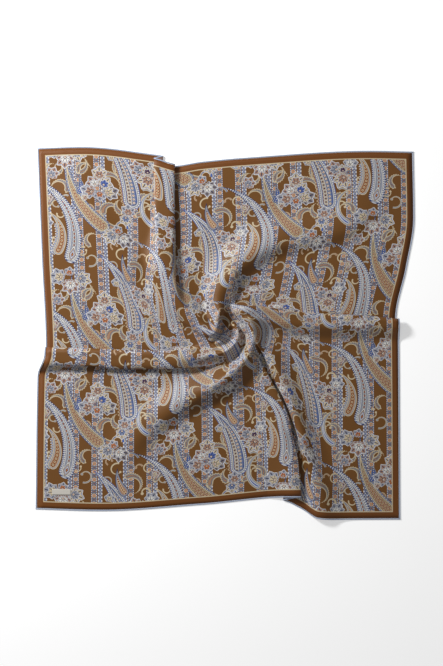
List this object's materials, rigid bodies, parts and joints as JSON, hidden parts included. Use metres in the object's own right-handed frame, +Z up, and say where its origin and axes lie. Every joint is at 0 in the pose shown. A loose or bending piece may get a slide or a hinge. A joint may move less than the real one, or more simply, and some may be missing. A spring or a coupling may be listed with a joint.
{
  "type": "silk square scarf",
  "caption": "Square printed silk scarf with a rolled hem, laid flat with a pinwheel of pleats twisted together at its middle.",
  "frame": {"origin": "on the surface that the scarf lies on, under the middle of its outline", "axes": "+Z up, out of the printed face; +X to the scarf's right and +Y to its top as it lies; -Z is its resting side"},
  "size_m": [0.853, 0.8395, 0.0298],
  "materials": {
    "printed_twill": "satin silk twill with a bronze ground, a paisley print and a brown border",
    "rolled_hem": "satin, pale grey-blue, rolled and hand-stitched",
    "woven_label": "ivory woven satin, bare"
  },
  "bodies": {
    "root": {"twill_panel": "printed_twill", "hem_top": "rolled_hem", "hem_right": "rolled_hem", "hem_bottom": "rolled_hem", "hem_left": "rolled_hem", "corner_label": "woven_label"}
  },
  "joints": []
}
